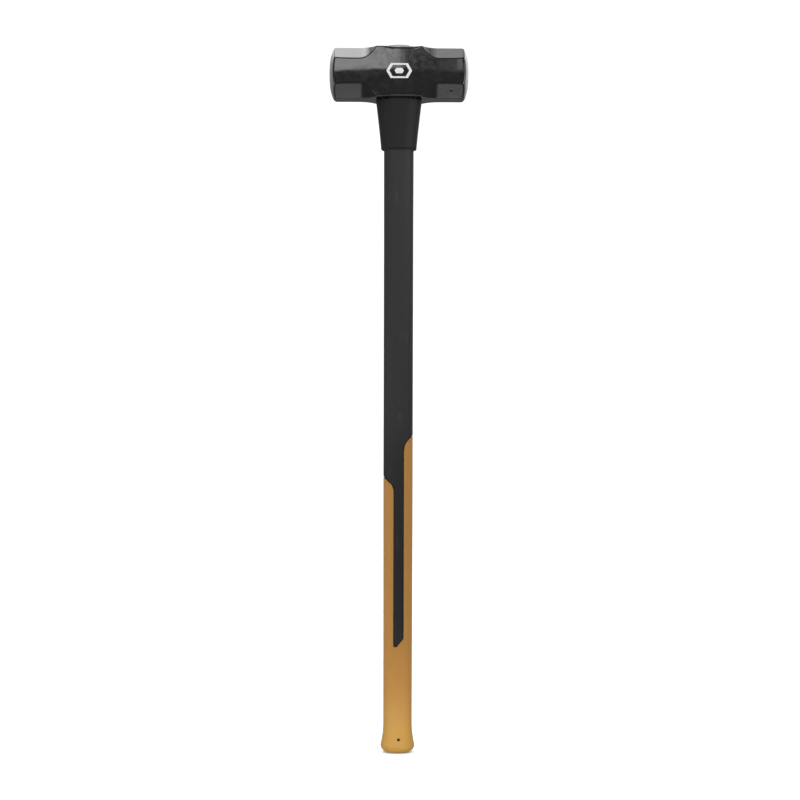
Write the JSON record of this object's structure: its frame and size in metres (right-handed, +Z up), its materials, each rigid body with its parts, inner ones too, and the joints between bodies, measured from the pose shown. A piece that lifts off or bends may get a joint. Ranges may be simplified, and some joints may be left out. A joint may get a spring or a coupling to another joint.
{
  "type": "sledgehammer",
  "caption": "Long-handled double-faced sledgehammer: forged octagonal head with a square middle, bonded to a straight oval fibreglass handle with overstrike collar and moulded grip.",
  "frame": {"origin": "middle of the flat on the handle's butt, the lowest point", "axes": "+Z up the handle to the head, X along the head's length, -Y the front with the emblem on the cheek, Y across the handle's thin way"},
  "size_m": [0.18, 0.0652, 0.914],
  "materials": {
    "forged_head": "satin",
    "fibreglass_core": "satin",
    "cured_bond": "gloss",
    "dam_rubber": "matte",
    "collar_rubber": "matte",
    "black_jacket": "satin",
    "ochre_grip": "matte"
  },
  "bodies": {
    "root": {"hammer_head": "forged_head", "core_rod": "fibreglass_core", "eye_bond": "cured_bond", "eye_dam_ring": "dam_rubber", "overstrike_collar": "collar_rubber", "shaft_jacket": "black_jacket", "grip_sleeve": "ochre_grip"}
  },
  "joints": []
}
